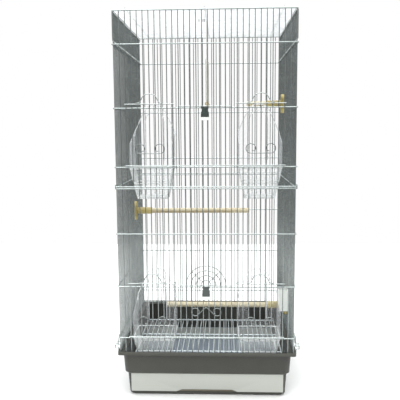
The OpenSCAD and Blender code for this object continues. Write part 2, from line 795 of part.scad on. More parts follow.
// A cup's tapered body: its front leans in more than the rest, to pass the ledge of the base
module cup_body(inset, z0, z1, lean, front_lean) {
  r = 8 - inset;
  half = cup_w / 2 - inset;
  y0 = cup_front + inset + r;
  y1 = cup_back - inset - r;
  hull()
    for (s = [-1, 1]) {
      translate([s * (half - r), y0, z1 - 0.1]) cylinder(r = r, h = 0.1, $fn = 32);
      translate([s * (half - r), y1, z1 - 0.1]) cylinder(r = r, h = 0.1, $fn = 32);
      translate([s * (half - lean - r), y0 + front_lean, z0]) cylinder(r = r, h = 0.1, $fn = 32);
      translate([s * (half - lean - r), y1 - lean, z0]) cylinder(r = r, h = 0.1, $fn = 32);
    }
}

// The cup hangs by two hooks over the sill rail
module feed_cup(s, sill) {
  rim = sill - 2;
  bottom = rim - cup_h;
  part = (cup_h - cup_wall) / cup_h;
  over = sill + rail_r + 0.3;
  leg_front = rail_y - rail_r - 0.3;
  hook_t = 1.8;
  gap = 2 * feeder_half / feeder_gaps;
  hook_at = (floor(feeder_gaps / 4) + (feeder_gaps % 2 == 0 ? 0.5 : 1)) * gap;
  color("#dfe3e2")
    translate([s * feeder_x, 0, 0]) {
      difference() {
        cup_body(0, bottom, rim, cup_lean, cup_front_lean);
        cup_body(cup_wall, bottom + cup_wall, rim + 0.2, cup_lean * part, cup_front_lean * part);
      }
      for (t = [-1, 1])
        translate([t * hook_at - hook_w / 2, 0, 0]) {
          translate([0, cup_front, rim - 3]) cube([hook_w, cup_wall, over + hook_t - rim + 3]);
          translate([0, leg_front - hook_t, over]) cube([hook_w, cup_front - leg_front + hook_t, hook_t]);
          translate([0, leg_front - hook_t, over - 7]) cube([hook_w, hook_t, 7.5]);
        }
    }
}

// A clear guard stands on the cup and keeps the seed in: two side walls, and a back with a feeding hole
module seed_guard(s, sill) {
  foot = sill - 2 + weld_gap;
  shoulder = sill + 92;
  centre = sill + guard_h - guard_r;
  half = cup_w / 2 - 0.5;
  back_y = cup_back - cup_wall - 0.5;
  hole_r = feed_hole_w / 2;
  color("#dfe3e2")
    translate([s * feeder_x, 0, 0]) {
      translate([0, back_y + cup_wall, 0]) rotate([90, 0, 0])
        linear_extrude(cup_wall)
          difference() {
            union() {
              translate([-half, foot]) square([2 * half, shoulder - foot]);
              polygon([
                [-half, shoulder - 0.01], [half, shoulder - 0.01],
                [guard_r * cos(20), centre + guard_r * sin(20)],
                [-guard_r * cos(20), centre + guard_r * sin(20)]
              ]);
              translate([0, centre]) circle(r = guard_r, $fn = round_fn);
            }
            translate([-hole_r, sill + 14]) square([feed_hole_w, centre - sill - 24]);
            translate([0, centre - 10]) circle(r = hole_r, $fn = round_fn);
          }
      for (t = [-1, 1])
        translate([t * (half - cup_wall / 2) - cup_wall / 2, 0, 0])
          rotate([90, 0, 90])
            linear_extrude(cup_wall)
              polygon([
                [back_y, foot], [back_y, shoulder], [cup_front + 10, sill + 60],
                [cup_front + 10, foot]
              ]);
    }
}

module lower_left_cup() { feed_cup(-1, lower_sill); }
module lower_right_cup() { feed_cup(1, lower_sill); }
module upper_left_cup() { feed_cup(-1, upper_sill); }
module upper_right_cup() { feed_cup(1, upper_sill); }
module lower_left_seed_guard() { seed_guard(-1, lower_sill); }
module lower_right_seed_guard() { seed_guard(1, lower_sill); }
module upper_left_seed_guard() { seed_guard(-1, upper_sill); }
module upper_right_seed_guard() { seed_guard(1, upper_sill); }

// ---------- perches ----------

flange_t = 9;
flange_w = 24;
hub_r = perch_d / 2 + 2.6;
socket_depth = hub_len - 8;
stud_r = 3;
wall_in = half_w - bar_r - 0.3;

// Each perch in its own frame: the wall is at x = 0 and the perch runs along +X
module at_perch(s, distance, z) {
  translate([s * wall_in, gap_y(distance), z])
    mirror([s > 0 ? 1 : 0, 0, 0])
      children();
}

module perch_rod(length) {
  translate([flange_t + hub_len - socket_depth + 0.2, 0, 0]) rotate([0, 90, 0])
    cylinder(r = perch_d / 2, h = length, $fn = round_fn);
}

module perch_holder() {
  difference() {
    union() {
      translate([0, -flange_w / 2, -flange_h / 2 + flange_w / 2])
        cube([flange_t, flange_w, flange_h - flange_w]);
      for (t = [-1, 1])
        translate([0, 0, t * (flange_h - flange_w) / 2]) rotate([0, 90, 0])
          cylinder(r = flange_w / 2, h = flange_t, $fn = round_fn);
      rotate([0, 90, 0]) cylinder(r = hub_r, h = flange_t + hub_len, $fn = round_fn);
      translate([-bar_d - 8, 0, 0]) rotate([0, 90, 0]) cylinder(r = stud_r, h = bar_d + 9, $fn = round_fn);
    }
    translate([flange_t + hub_len - socket_depth, 0, 0]) rotate([0, 90, 0])
      cylinder(r = perch_d / 2 + 0.05, h = socket_depth + 1, $fn = round_fn);
  }
}

// The washer and wing nut outside the wall
module perch_nut() {
  out = bar_d + 0.6;
  difference() {
    union() {
      translate([-out - 2, 0, 0]) rotate([0, 90, 0]) cylinder(r = 12, h = 2, $fn = round_fn);
      translate([-out - 10, 0, 0]) rotate([0, 90, 0]) cylinder(r = 7, h = 8.5, $fn = round_fn);
      for (t = [-1, 1])
        translate([-out - 10, -1.5, t > 0 ? 5 : -19]) cube([7, 3, 14]);
    }
    translate([-out - 11, 0, 0]) rotate([0, 90, 0])
      cylinder(r = stud_r + 0.05, h = 12, $fn = round_fn);
  }
}

module upper_perch() { color("#d8c89c") at_perch(-1, upper_perch_y, upper_perch_z) perch_rod(perch_len); }
module lower_perch() { color("#d8c89c") at_perch(1, lower_perch_y, lower_perch_z) perch_rod(perch_len); }
module short_perch() {
  color("#d8c89c") at_perch(1, short_perch_y, short_perch_z) perch_rod(short_perch_len);
}

module upper_perch_holder() {
  color("#b9a24a") at_perch(-1, upper_perch_y, upper_perch_z) perch_holder();
}

module lower_perch_holder() {
  color("#b9a24a") at_perch(1, lower_perch_y, lower_perch_z) perch_holder();
}

module short_perch_holder() {
  color("#b9a24a") at_perch(1, short_perch_y, short_perch_z) perch_holder();
}

module perch_nuts() {
  color("#b9a24a") {
    at_perch(-1, upper_perch_y, upper_perch_z) perch_nut();
    at_perch(1, lower_perch_y, lower_perch_z) perch_nut();
    at_perch(1, short_perch_y, short_perch_z) perch_nut();
  }
}

// ---------- swing ----------

leg_r = 1.1;
sleeve_r = 4;
swing_y0 = -half_d + (floor(swing_y / pitch_y)) * pitch_y;
swing_y1 = swing_y0 + swing_gaps * pitch_y;
swing_z = roof_rod_z - swing_drop;

// Two legs hang by rings from the middle rod of the ceiling
module swing_frame() {
  hang_r = roof_rod_r + 0.4 + leg_r;
  sleeve_top = swing_z + swing_perch_d / 2 + 1 + sleeve_len;
  color("#cfc8ad")
    for (y = [swing_y0, swing_y1]) {
      translate([0, y, roof_rod_z]) rotate([90, 0, 0])
        rotate_extrude($fn = round_fn) translate([hang_r, 0]) circle(r = leg_r, $fn = wire_fn);
      wire_z(swing_z, roof_rod_z - hang_r, 0, y, leg_r);
      wire_z(sleeve_top - sleeve_len, sleeve_top, 0, y, sleeve_r);
    }
}

module swing_perch() {
  overhang = 12;
  color("#d8c89c")
    difference() {
      wire_y(swing_y0 - overhang, swing_y1 + overhang, 0, swing_z, swing_perch_d / 2);
      for (y = [swing_y0, swing_y1])
        translate([0, y, swing_z - 0.1]) cylinder(r = leg_r + 0.05, h = swing_perch_d, $fn = round_fn);
    }
}

// ---------- small fittings ----------

// An open box for greens and treats, hooked on the wires of the right wall
module treat_box() {
  wall = 2;
  x1 = half_w - bar_r - 0.3;
  y0 = -half_d + treat_y;
  color("#e9ebe6") {
    difference() {
      translate([x1 - treat_w, y0, treat_z]) cube([treat_w, treat_d, treat_h]);
      translate([x1 - treat_w + wall, y0 + wall, treat_z + wall])
        cube([treat_w - 2 * wall, treat_d - 2 * wall, treat_h]);
    }
    for (z = [treat_z + 14, treat_z + treat_h - 16])
      translate([x1 - 0.5, y0 + treat_d / 2 - 3, z]) cube([bar_d + 2.4, 6, 4]);
  }
}

// A spring clamp: it hangs from the first rail of a side wall and grips under the rim
module clamp(sx, sy) {
  wire_r = 1.2;
  y = sy * (half_d - clamp_inset);
  pivot = [half_w + rail_out, lower_sill];
  rim_x = rim_w / 2;
  grip_z = base_h - rim_h - wire_r - 0.5;
  leg_x = rim_x + wire_r + 0.5;
  hang_r = rail_r + 0.4 + wire_r;
  loop_x = rim_x + clamp_elbow + wire_r;
  loop_z = [base_h + 3.4, base_h + 11.4];
  color("silver")
    mirror([sx < 0 ? 1 : 0, 0, 0])
      translate([0, y, 0]) {
        for (t = [-1, 1])
          translate([0, t * clamp_w / 2, 0]) {
            translate([pivot[0], 0, pivot[1]]) rotate([90, 0, 0])
              rotate_extrude($fn = round_fn) translate([hang_r, 0]) circle(r = wire_r, $fn = wire_fn);
            wire_chain([
              [pivot[0] + hang_r + wire_r + weld_gap, 0, pivot[1]], [leg_x, 0, loop_z[1]],
              [loop_x, 0, loop_z[1]], [loop_x, 0, loop_z[0]], [leg_x, 0, loop_z[0]],
              [leg_x, 0, grip_z - wire_r]
            ], wire_r);
            wire_x(rim_x - 5, leg_x - wire_r - weld_gap, 0, grip_z, wire_r);
          }
        wire_y(
          -clamp_w / 2 + wire_r + 0.3, clamp_w / 2 - wire_r - 0.3, loop_x, (loop_z[0] + loop_z[1]) / 2,
          wire_r);
      }
}

module front_left_clamp() { clamp(-1, -1); }
module front_right_clamp() { clamp(1, -1); }
module back_left_clamp() { clamp(-1, 1); }
module back_right_clamp() { clamp(1, 1); }

base_case();
drawer_tray();
floor_grate();
lower_left_panel();
lower_right_panel();
lower_back_panel();
lower_front_sill();
lower_front_posts();
lower_front_head();
upper_left_panel();
upper_right_panel();
upper_back_panel();
upper_front_sill();
upper_front_posts();
upper_front_head();
ceiling_panel();
ceiling_skirts();
ceiling_bends();
skirt_hooks();
ceiling_hooks();
seam_clips();
lower_access_door();
lower_access_door_hinges();
lower_access_door_scroll();
upper_access_door();
upper_access_door_hinges();
lower_latch();
lower_latch_tab();
upper_latch();
upper_latch_tab();
lower_left_feeder_door();
lower_left_feeder_scroll();
lower_right_feeder_door();
lower_right_feeder_scroll();
upper_left_feeder_door();
upper_left_feeder_scroll();
upper_right_feeder_door();
upper_right_feeder_scroll();
lower_left_cup();
lower_left_seed_guard();
lower_right_cup();
lower_right_seed_guard();
upper_left_cup();
upper_left_seed_guard();
upper_right_cup();
upper_right_seed_guard();
upper_perch();
upper_perch_holder();
lower_perch();
lower_perch_holder();
short_perch();
short_perch_holder();
perch_nuts();
swing_frame();
swing_perch();
treat_box();
front_left_clamp();
front_right_clamp();
back_left_clamp();
back_right_clamp();
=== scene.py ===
import math

import bmesh
import bpy
from mathutils import Matrix, Vector


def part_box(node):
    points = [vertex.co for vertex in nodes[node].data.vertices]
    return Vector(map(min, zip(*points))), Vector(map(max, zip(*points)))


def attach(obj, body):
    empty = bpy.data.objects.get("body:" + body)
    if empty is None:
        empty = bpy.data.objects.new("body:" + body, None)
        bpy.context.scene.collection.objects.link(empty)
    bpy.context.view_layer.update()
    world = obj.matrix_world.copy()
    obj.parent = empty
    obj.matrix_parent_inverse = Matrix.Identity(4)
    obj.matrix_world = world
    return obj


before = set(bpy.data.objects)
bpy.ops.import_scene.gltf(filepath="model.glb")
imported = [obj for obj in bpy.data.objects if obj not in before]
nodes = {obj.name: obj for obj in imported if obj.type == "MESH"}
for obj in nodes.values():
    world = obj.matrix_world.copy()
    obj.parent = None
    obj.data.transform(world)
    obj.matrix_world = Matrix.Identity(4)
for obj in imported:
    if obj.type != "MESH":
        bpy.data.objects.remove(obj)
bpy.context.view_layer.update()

scene = bpy.context.scene

# All lengths are in metres.
LENS_MM = 52.5
CAMERA_PLACE = (0.0503, -1.742, 0.727)
YAW, PITCH, ROLL = 2.46, -6.94, -0.43
FLOOR_HALF = 1.9

# Height as a share of the sky, from straight down to straight up, and the brightness there.
SKY_STOPS = ((0.36, 0.3), (0.46, 0.22), (0.56, 0.26), (0.66, 0.6), (0.8, 1.45))

BEAD_SIDES = 10
CORNER_STEPS = 6

# A cup: how far its sides and its front draw in from rim to foot, and its beads' radii.
CUP_LEAN = 0.016
CUP_FRONT_LEAN = 0.024
CUP_FRONT_REACH = 0.010
RIM_BEAD = 0.0016
FOOT_BEAD = 0.0028

# A seed guard: its foot below the rim, its shoulder above it, its round top and its hole.
GUARD_FOOT = 0.00198
GUARD_SHOULDER = 0.092
GUARD_EDGE_DROP = 0.012
GUARD_TOP_R = 0.035
GUARD_BEAD = 0.0013
GUARD_INSET = 0.0014
HOLE_HALF = 0.024
HOLE_DROP = 0.010

# The raised loop on a feeder door's top rail.
LOOP_WIRE_R = 0.00115
DOOR_RAIL_R = 0.00125
LOOP_HALF_W = 0.0205
LOOP_RISE = 0.0175
LOOP_CENTRE = 0.0085

# A dark sheet in the drawer's finger recess: painted shade, tinted the brown of the base seen behind it.
GRIP_HALF_FOOT = 0.0845
GRIP_HALF_HEAD = 0.0685
GRIP_HEIGHT = 0.0055
GRIP_THICK = 0.0014

# Bevel widths on the nodes that have moulded or turned edges.
SOFT_EDGES = (
    (0.0006, ("drawer_tray", "treat_box", "lower_latch", "upper_latch", "lower_latch_tab",
              "upper_latch_tab")),
    (0.0012, ("upper_perch_holder", "lower_perch_holder", "short_perch_holder")),
    (0.0008, ("upper_perch", "lower_perch", "short_perch", "swing_perch")),
)


# ---------- camera, light and floor ----------

def place_camera():
    data = bpy.data.cameras.new("camera")
    data.lens = LENS_MM
    data.sensor_width = 36.0
    data.clip_start, data.clip_end = 0.05, 60.0
    cam = bpy.data.objects.new("camera", data)
    scene.collection.objects.link(cam)
    yaw, pitch, roll = (math.radians(angle) for angle in (YAW, PITCH, ROLL))
    cam.matrix_world = (
        Matrix.Translation(CAMERA_PLACE)
        @ Matrix.Rotation(yaw, 4, "Z")
        @ Matrix.Rotation(math.radians(90) + pitch, 4, "X")
        @ Matrix.Rotation(roll, 4, "Z")
    )
    scene.camera = cam


def area_light(name, place, target, size, power):
    data = bpy.data.lights.new(name, "AREA")
    data.shape = "RECTANGLE"
    data.size, data.size_y = size
    data.energy = power
    lamp = bpy.data.objects.new(name, data)
    lamp.location = place
    lamp.rotation_euler = (Vector(target) - Vector(place)).to_track_quat("-Z", "Y").to_euler()
    scene.collection.objects.link(lamp)


def make_world():
    """White where the camera looks past the cage. As light, dark at the horizon and bright above."""
    world = bpy.data.worlds.new("studio")
    scene.world = world
    world.use_nodes = True
    n, links = world.node_tree.nodes, world.node_tree.links
    n.clear()
    out = n.new("ShaderNodeOutputWorld")
    seen = n.new("ShaderNodeBackground")
    seen.inputs["Color"].default_value = (1, 1, 1, 1)
    seen.inputs["Strength"].default_value = 1.0
    lit = n.new("ShaderNodeBackground")
    lit.inputs["Strength"].default_value = 1.0
    coords = n.new("ShaderNodeTexCoord")
    split = n.new("ShaderNodeSeparateXYZ")
    ramp = n.new("ShaderNodeValToRGB")
    ramp.color_ramp.elements[0].position = 0.0
    ramp.color_ramp.elements[0].color = (0.6, 0.6, 0.6, 1)
    ramp.color_ramp.elements[1].position = 1.0
    ramp.color_ramp.elements[1].color = (1.65, 1.68, 1.7, 1)
    for at, v in SKY_STOPS:
        e = ramp.color_ramp.elements.new(at)
        e.color = (v * 0.97, v, v * 0.99, 1)
    scale = n.new("ShaderNodeMath")
    scale.operation = "MULTIPLY_ADD"
    scale.inputs[1].default_value = 0.5
    scale.inputs[2].default_value = 0.5
    path = n.new("ShaderNodeLightPath")
    mix = n.new("ShaderNodeMixShader")
    links.new(coords.outputs["Generated"], split.inputs[0])
    links.new(split.outputs["Z"], scale.inputs[0])
    links.new(scale.outputs[0], ramp.inputs[0])
    links.new(ramp.outputs[0], lit.inputs["Color"])
    links.new(path.outputs["Is Camera Ray"], mix.inputs[0])
    links.new(lit.outputs[0], mix.inputs[1])
    links.new(seen.outputs[0], mix.inputs[2])
    links.new(mix.outputs[0], out.inputs["Surface"])


def make_floor():
    mesh = bpy.data.meshes.new("floor")
    s = FLOOR_HALF
    mesh.from_pydata([(-s, -s, 0), (s, -s, 0), (s, s, 0), (-s, s, 0)], [], [(0, 1, 2, 3)])
    floor = bpy.data.objects.new("floor", mesh)
    scene.collection.objects.link(floor)
    m = bpy.data.materials.new("floor")
    m.use_nodes = True
    b = m.node_tree.nodes["Principled BSDF"]
    b.inputs["Base Color"].default_value = (0.93, 0.93, 0.925, 1)
    b.inputs["Roughness"].default_value = 0.85
    b.inputs["Specular IOR Level"].default_value = 0.1
    mesh.materials.append(m)


# ---------- materials ----------

class Shader:
    """A material with short ways to add nodes."""

    def __init__(self, name):
        self.material = bpy.data.materials.new(name)
        self.material.use_nodes = True
        self.tree = self.material.node_tree
        self.bsdf = self.tree.nodes["Principled BSDF"]
        self.place = self.tree.nodes.new("ShaderNodeTexCoord").outputs["Object"]

    def node(self, kind, **settings):
        made = self.tree.nodes.new(kind)
        for key, value in settings.items():
            setattr(made, key, value)
        return made

    def link(self, a, b):
        self.tree.links.new(a, b)

    def mapped(self, scale, turn=(0, 0, 0)):
        m = self.node("ShaderNodeMapping")
        m.inputs["Scale"].default_value = scale
        m.inputs["Rotation"].default_value = turn
        self.link(self.place, m.inputs["Vector"])
        return m.outputs[0]

    def noise(self, scale, detail=4.0, rough=0.55, where=None):
        t = self.node("ShaderNodeTexNoise")
        t.inputs["Scale"].default_value = scale
        t.inputs["Detail"].default_value = detail
        t.inputs["Roughness"].default_value = rough
        self.link(where or self.place, t.inputs["Vector"])
        return t.outputs["Fac"]

    def ramp(self, source, stops):
        r = self.node("ShaderNodeValToRGB")
        el = r.color_ramp.elements
        el[0].position, el[0].color = stops[0][0], (*stops[0][1], 1)
        el[1].position, el[1].color = stops[-1][0], (*stops[-1][1], 1)
        for at, colour in stops[1:-1]:
            el.new(at).color = (*colour, 1)
        self.link(source, r.inputs[0])
        return r.outputs[0]

    def span(self, source, low, high, start=0.3, end=0.7):
        r = self.node("ShaderNodeMapRange")
        r.inputs["From Min"].default_value = start
        r.inputs["From Max"].default_value = end
        r.inputs["To Min"].default_value = low
        r.inputs["To Max"].default_value = high
        self.link(source, r.inputs["Value"])
        return r.outputs[0]

    def mix(self, factor, a, b):
        m = self.node("ShaderNodeMix", data_type="RGBA")
        for source, socket in ((factor, m.inputs["Factor"]), (a, m.inputs[6]), (b, m.inputs[7])):
            if isinstance(source, (float, int)):
                socket.default_value = source
            elif isinstance(source, tuple):
                socket.default_value = (*source, 1)
            else:
                self.link(source, socket)
        return m.outputs[2]

    def bump(self, source, strength, distance, after=None):
        b = self.node("ShaderNodeBump")
        b.inputs["Strength"].default_value = strength
        b.inputs["Distance"].default_value = distance
        self.link(source, b.inputs["Height"])
        if after is not None:
            self.link(after, b.inputs["Normal"])
        return b.outputs[0]

    def edges(self, low, high):
        """One on sharp outer edges and zero elsewhere."""
        g = self.node("ShaderNodeNewGeometry")
        return self.span(g.outputs["Pointiness"], 0.0, 1.0, low, high)


def tint(colour, by):
    return tuple(min(1.0, c * by) for c in colour)


def wire_material(name, colour, bright, rough=0.24, metallic=0.7):
    """Plated wire with a painted highlight: faces that point up, along the top of wires that lie flat, are
    painted bright times lighter than upright wires.
    """
    s = Shader(name)
    normal = s.node("ShaderNodeSeparateXYZ")
    s.link(s.node("ShaderNodeTexCoord").outputs["Normal"], normal.inputs[0])
    # Mask for the painted highlight: one where the surface faces up.
    top = s.span(normal.outputs["Z"], 0.0, 1.0, 0.05, 0.75)
    cloud = s.noise(38.0, 3.0)
    fine = s.noise(900.0, 2.0)
    plate = s.ramp(cloud, [(0.3, tint(colour, 0.82)), (0.52, colour), (0.7, tint(colour, 1.14))])
    # The painted highlight colour: the plate colour made bright times lighter.
    painted_top_highlight = s.ramp(cloud, [(0.3, tint(colour, bright * 0.92)), (0.7, tint(colour, bright))])
    with_painted_light = s.mix(top, plate, painted_top_highlight)
    worn = s.mix(s.span(s.noise(240.0, 5.0, 0.7), 0.0, 0.3, 0.56, 0.72), with_painted_light, tint(colour, 0.6))
    s.link(worn, s.bsdf.inputs["Base Color"])
    s.bsdf.inputs["Metallic"].default_value = metallic
    s.link(s.span(fine, rough * 0.75, rough * 1.35), s.bsdf.inputs["Roughness"])
    drawn = s.noise(1.0, 3.0, 0.6, s.mapped((2600.0, 2600.0, 90.0)))
    s.link(s.bump(drawn, 0.12, 0.0002), s.bsdf.inputs["Normal"])
    return s.material


def plastic_material(name, colour, rough, grain, mottle, edge, coat=0.0, shade=0.8):
    """Moulded plastic: edge is how much lighter its edges are rubbed, shade how dark its specks are."""
    s = Shader(name)
    base = s.ramp(
        s.noise(16.0, 5.0, 0.6),
        [(0.28, tint(colour, 1 - mottle)), (0.5, colour), (0.72, tint(colour, 1 + mottle))],
    )
    speck = s.mix(s.span(s.noise(420.0, 2.0), 0.0, 0.25, 0.55, 0.7), base, tint(colour, shade))
    rubbed = s.mix(s.edges(0.52, 0.6), speck, tint(colour, edge))
    s.link(rubbed, s.bsdf.inputs["Base Color"])
    s.link(s.span(s.noise(55.0, 5.0, 0.65), rough * 0.85, rough * 1.2), s.bsdf.inputs["Roughness"])
    s.bsdf.inputs["Coat Weight"].default_value = coat
    s.bsdf.inputs["Coat Roughness"].default_value = 0.12
    moulded = s.bump(s.noise(1500.0, 2.0, 0.5), grain, 0.00025)
    sunk = s.bump(s.noise(9.0, 2.0, 0.4), 0.05, 0.002, moulded)
    s.link(sunk, s.bsdf.inputs["Normal"])
    return s.material


def tray_material():
    """Warm light grey moulding, with painted shade: faces that point up, such as the floor inside the tray
    under the grate, are painted a cooler and darker grey.
    """
    material = plastic_material("tray_plastic", (0.41, 0.42, 0.385), rough=0.36, grain=0.1, mottle=0.03,
                                edge=1.15, coat=0.1, shade=0.93)
    tree = material.node_tree
    bsdf = tree.nodes["Principled BSDF"]
    outer = bsdf.inputs["Base Color"].links[0].from_socket
    coords = tree.nodes.new("ShaderNodeTexCoord")
    normal = tree.nodes.new("ShaderNodeSeparateXYZ")
    # Mask for the painted shade: one where the surface faces up.
    up = tree.nodes.new("ShaderNodeMapRange")
    up.inputs["From Min"].default_value = 0.6
    up.inputs["From Max"].default_value = 0.95
    with_painted_light = tree.nodes.new("ShaderNodeMix")
    with_painted_light.data_type = "RGBA"
    # The painted shade colour for upward faces.
    with_painted_light.inputs[7].default_value = (0.20, 0.235, 0.28, 1)
    tree.links.new(coords.outputs["Normal"], normal.inputs[0])
    tree.links.new(normal.outputs["Z"], up.inputs["Value"])
    tree.links.new(up.outputs[0], with_painted_light.inputs["Factor"])
    tree.links.new(outer, with_painted_light.inputs[6])
    tree.links.new(with_painted_light.outputs[2], bsdf.inputs["Base Color"])
    return material


def wood_material(name, light, dark, along):
    """Turned wood with its grain along one axis: 0 for X, 1 for Y."""
    s = Shader(name)

    def grain(across, lengthwise, detail, rough):
        scale = [across] * 3
        scale[along] = lengthwise
        return s.noise(1.0, detail, rough, s.mapped(tuple(scale)))

    rings = grain(260.0, 9.0, 4.0, 0.62)
    bands = grain(70.0, 2.5, 2.0, 0.5)
    base = s.ramp(bands, [(0.3, dark), (0.5, tint(light, 0.93)), (0.72, light)])
    grained = s.mix(s.span(rings, 0.0, 0.55, 0.5, 0.72), base, tint(dark, 0.8))
    pore = grain(900.0, 40.0, 2.0, 0.5)
    final = s.mix(s.span(pore, 0.0, 0.4, 0.6, 0.75), grained, tint(dark, 0.6))
    s.link(final, s.bsdf.inputs["Base Color"])
    s.link(s.span(rings, 0.42, 0.62), s.bsdf.inputs["Roughness"])
    s.link(s.bump(rings, 0.25, 0.0004), s.bsdf.inputs["Normal"])
    return s.material


def clear_material(name, colour, facing, grazing):
    """Clear plastic: facing and grazing are how opaque it is seen square on and edge on."""
    s = Shader(name)
    flow = s.ramp(s.noise(22.0, 3.0), [(0.3, tint(colour, 0.93)), (0.7, colour)])
    s.link(flow, s.bsdf.inputs["Base Color"])
    weight = s.node("ShaderNodeLayerWeight")
    weight.inputs["Blend"].default_value = 0.35
    s.link(s.span(weight.outputs["Facing"], facing, grazing, 0.1, 0.9), s.bsdf.inputs["Alpha"])
    s.bsdf.inputs["IOR"].default_value = 1.49
    s.bsdf.inputs["Specular IOR Level"].default_value = 0.8
    s.link(s.span(s.noise(160.0, 4.0), 0.05, 0.16), s.bsdf.inputs["Roughness"])
    s.link(s.bump(s.noise(26.0, 2.0, 0.4), 0.25, 0.0015), s.bsdf.inputs["Normal"])
    return s.material


def make_materials():
    return {
        # bright sets how much lighter the painted highlight on the tops of flat wires is.
        "cage": wire_material("plated_wire", (0.27, 0.295, 0.29), bright=3.2),
        "roof": wire_material("roof_wire", (0.80, 0.81, 0.82), bright=1.2, rough=0.35, metallic=0.5),
        "rail": wire_material("door_wire", (0.26, 0.28, 0.275), bright=3.3),
        "scroll": wire_material("scroll_wire", (0.16, 0.175, 0.17), bright=3.0),
        "grate": wire_material("grate_wire", (0.50, 0.56, 0.62), bright=1.9, rough=0.28, metallic=0.6),
        "base": plastic_material("taupe_plastic", (0.037, 0.0365, 0.030),
                                 rough=0.45, grain=0.18, mottle=0.07, edge=1.7),
        "tray": tray_material(),
        # Dark brown for the sheet in the drawer's finger recess: painted shade over the base seen behind it.
        "shade_fill": plastic_material("recess_shade_paint", (0.12, 0.105, 0.075),
                                 rough=0.5, grain=0.1, mottle=0.08, edge=1.3),
        "latch": plastic_material("black_plastic", (0.022, 0.028, 0.026),
                                  rough=0.28, grain=0.08, mottle=0.1, edge=2.2, coat=0.3),
        "white": plastic_material("white_plastic", (0.82, 0.84, 0.81),
                                  rough=0.25, grain=0.06, mottle=0.02, edge=1.05, coat=0.3, shade=0.96),
        "cup": clear_material("clear_cup", (0.90, 0.93, 0.93), facing=0.1, grazing=0.7),
        "guard": clear_material("clear_guard", (0.92, 0.93, 0.96), facing=0.07, grazing=0.55),
        # Near-opaque white for the beads: painted highlights along the edges of the clear plastic.
        "rim": clear_material("clear_rim_painted_highlight", (0.97, 0.98, 0.98), facing=0.7, grazing=0.95),
        "wood": wood_material("perch_wood", (0.74, 0.66, 0.47), (0.42, 0.33, 0.19), 0),
        "swing_wood": wood_material("swing_wood", (0.70, 0.62, 0.45), (0.42, 0.33, 0.19), 1),
        "mustard": plastic_material("mustard_plastic", (0.36, 0.29, 0.105),
                                    rough=0.34, grain=0.12, mottle=0.08, edge=1.5, coat=0.2),
        "cream": plastic_material("cream_plastic", (0.60, 0.59, 0.56),
                                  rough=0.4, grain=0.12, mottle=0.05, edge=1.2),
    }


def material_for(name):
    if name == "base_case":
        return "base"
    if name == "drawer_tray":
        return "tray"
    if name == "floor_grate":
        return "grate"
    if name.endswith("_latch"):
        return "latch"
    if name.endswith("_latch_tab") or name == "treat_box":
        return "white"
    if name.endswith("_cup"):
        return "cup"
    if name.endswith("_seed_guard"):
        return "guard"
    if name in ("upper_perch", "lower_perch", "short_perch"):
        return "wood"
    if name == "swing_perch":
        return "swing_wood"
    if name == "swing_frame":
        return "cream"
    if name.endswith("_holder") or name == "perch_nuts":
        return "mustard"
    if name in ("ceiling_panel", "ceiling_bends"):
        return "roof"
    if name.endswith("_scroll"):
        return "scroll"
    if "door" in name:
        return "rail"
    return "cage"


def dress_nodes(kinds):
    for name, obj in nodes.items():
        mat = kinds[material_for(name)]
        obj.data.materials.clear()
        obj.data.materials.append(mat)
        for p in obj.data.polygons:
            p.material_index = 0


def soften(name, width):
    m = nodes[name].modifiers.new("soft edges", "BEVEL")
    m.width = width
    m.segments = 3
    m.limit_method = "ANGLE"
    m.angle_limit = math.radians(40)


# ---------- extra pieces ----------

def new_piece(name, bm, material, body):
    mesh = bpy.data.meshes.new(name)
    bmesh.ops.recalc_face_normals(bm, faces=bm.faces)
    bm.to_mesh(mesh)
    bm.free()
    for p in mesh.polygons:
        p.use_smooth = True
    obj = bpy.data.objects.new(name, mesh)
    scene.collection.objects.link(obj)
    mesh.materials.append(kinds[material])
    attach(obj, body)
    return obj


def sweep(bm, points, radius, closed=False):
    """A round bead along a path."""
    pts = [Vector(p) for p in points]
    n = len(pts)
    turns = [2 * math.pi * k / BEAD_SIDES for k in range(BEAD_SIDES)]
    rings = []
    before = None
    for i, p in enumerate(pts):
        a = pts[(i - 1) % n] if closed or i > 0 else p
        b = pts[(i + 1) % n] if closed or i < n - 1 else p
        along = (b - a).normalized()
        if before is None:
            up = Vector((0, 0, 1)) if abs(along.z) < 0.9 else Vector((0, 1, 0))
            side = along.cross(up).normalized()
        else:
            side = (before - along * before.dot(along)).normalized()
        before = side
        other = along.cross(side)
        rings.append([
            bm.verts.new(p + side * (radius * math.cos(t)) + other * (radius * math.sin(t)))
            for t in turns
        ])
    for i in range(n if closed else n - 1):
        r0, r1 = rings[i], rings[(i + 1) % n]
        shift = 0
        if closed and i == n - 1:
            # The rings turn along the path, so the last joins the first at its nearest point.
            shift = min(range(BEAD_SIDES), key=lambda k: (r1[k].co - r0[0].co).length)
        for k in range(BEAD_SIDES):
            after = (k + 1) % BEAD_SIDES
            far, near = (after + shift) % BEAD_SIDES, (k + shift) % BEAD_SIDES
            bm.faces.new((r0[k], r0[after], r1[far], r1[near]))
    if not closed:
        bm.faces.new(list(reversed(rings[0])))
        bm.faces.new(rings[-1])


def round_rect(x0, x1, y0, y1, z, r):
    """A level loop with rounded corners."""
    corners = (
        (x1 - r, y1 - r, 0), (x0 + r, y1 - r, 90),
        (x0 + r, y0 + r, 180), (x1 - r, y0 + r, 270),
    )
    points = []
    for cx, cy, start in corners:
        for k in range(CORNER_STEPS + 1):
            t = math.radians(start + 90 * k / CORNER_STEPS)
            points.append((cx + r * math.cos(t), cy + r * math.sin(t), z))
    return points


def arch(x, y, z, half, rise, start, steps):
    """An upright arch in the XZ plane, from start degrees over the top to the same on the right."""
    points = []
    for k in range(steps + 1):
        t = math.radians(start - (2 * start - 180) * k / steps)
        points.append((x + half * math.cos(t), y, z + rise * math.sin(t)))
    return points


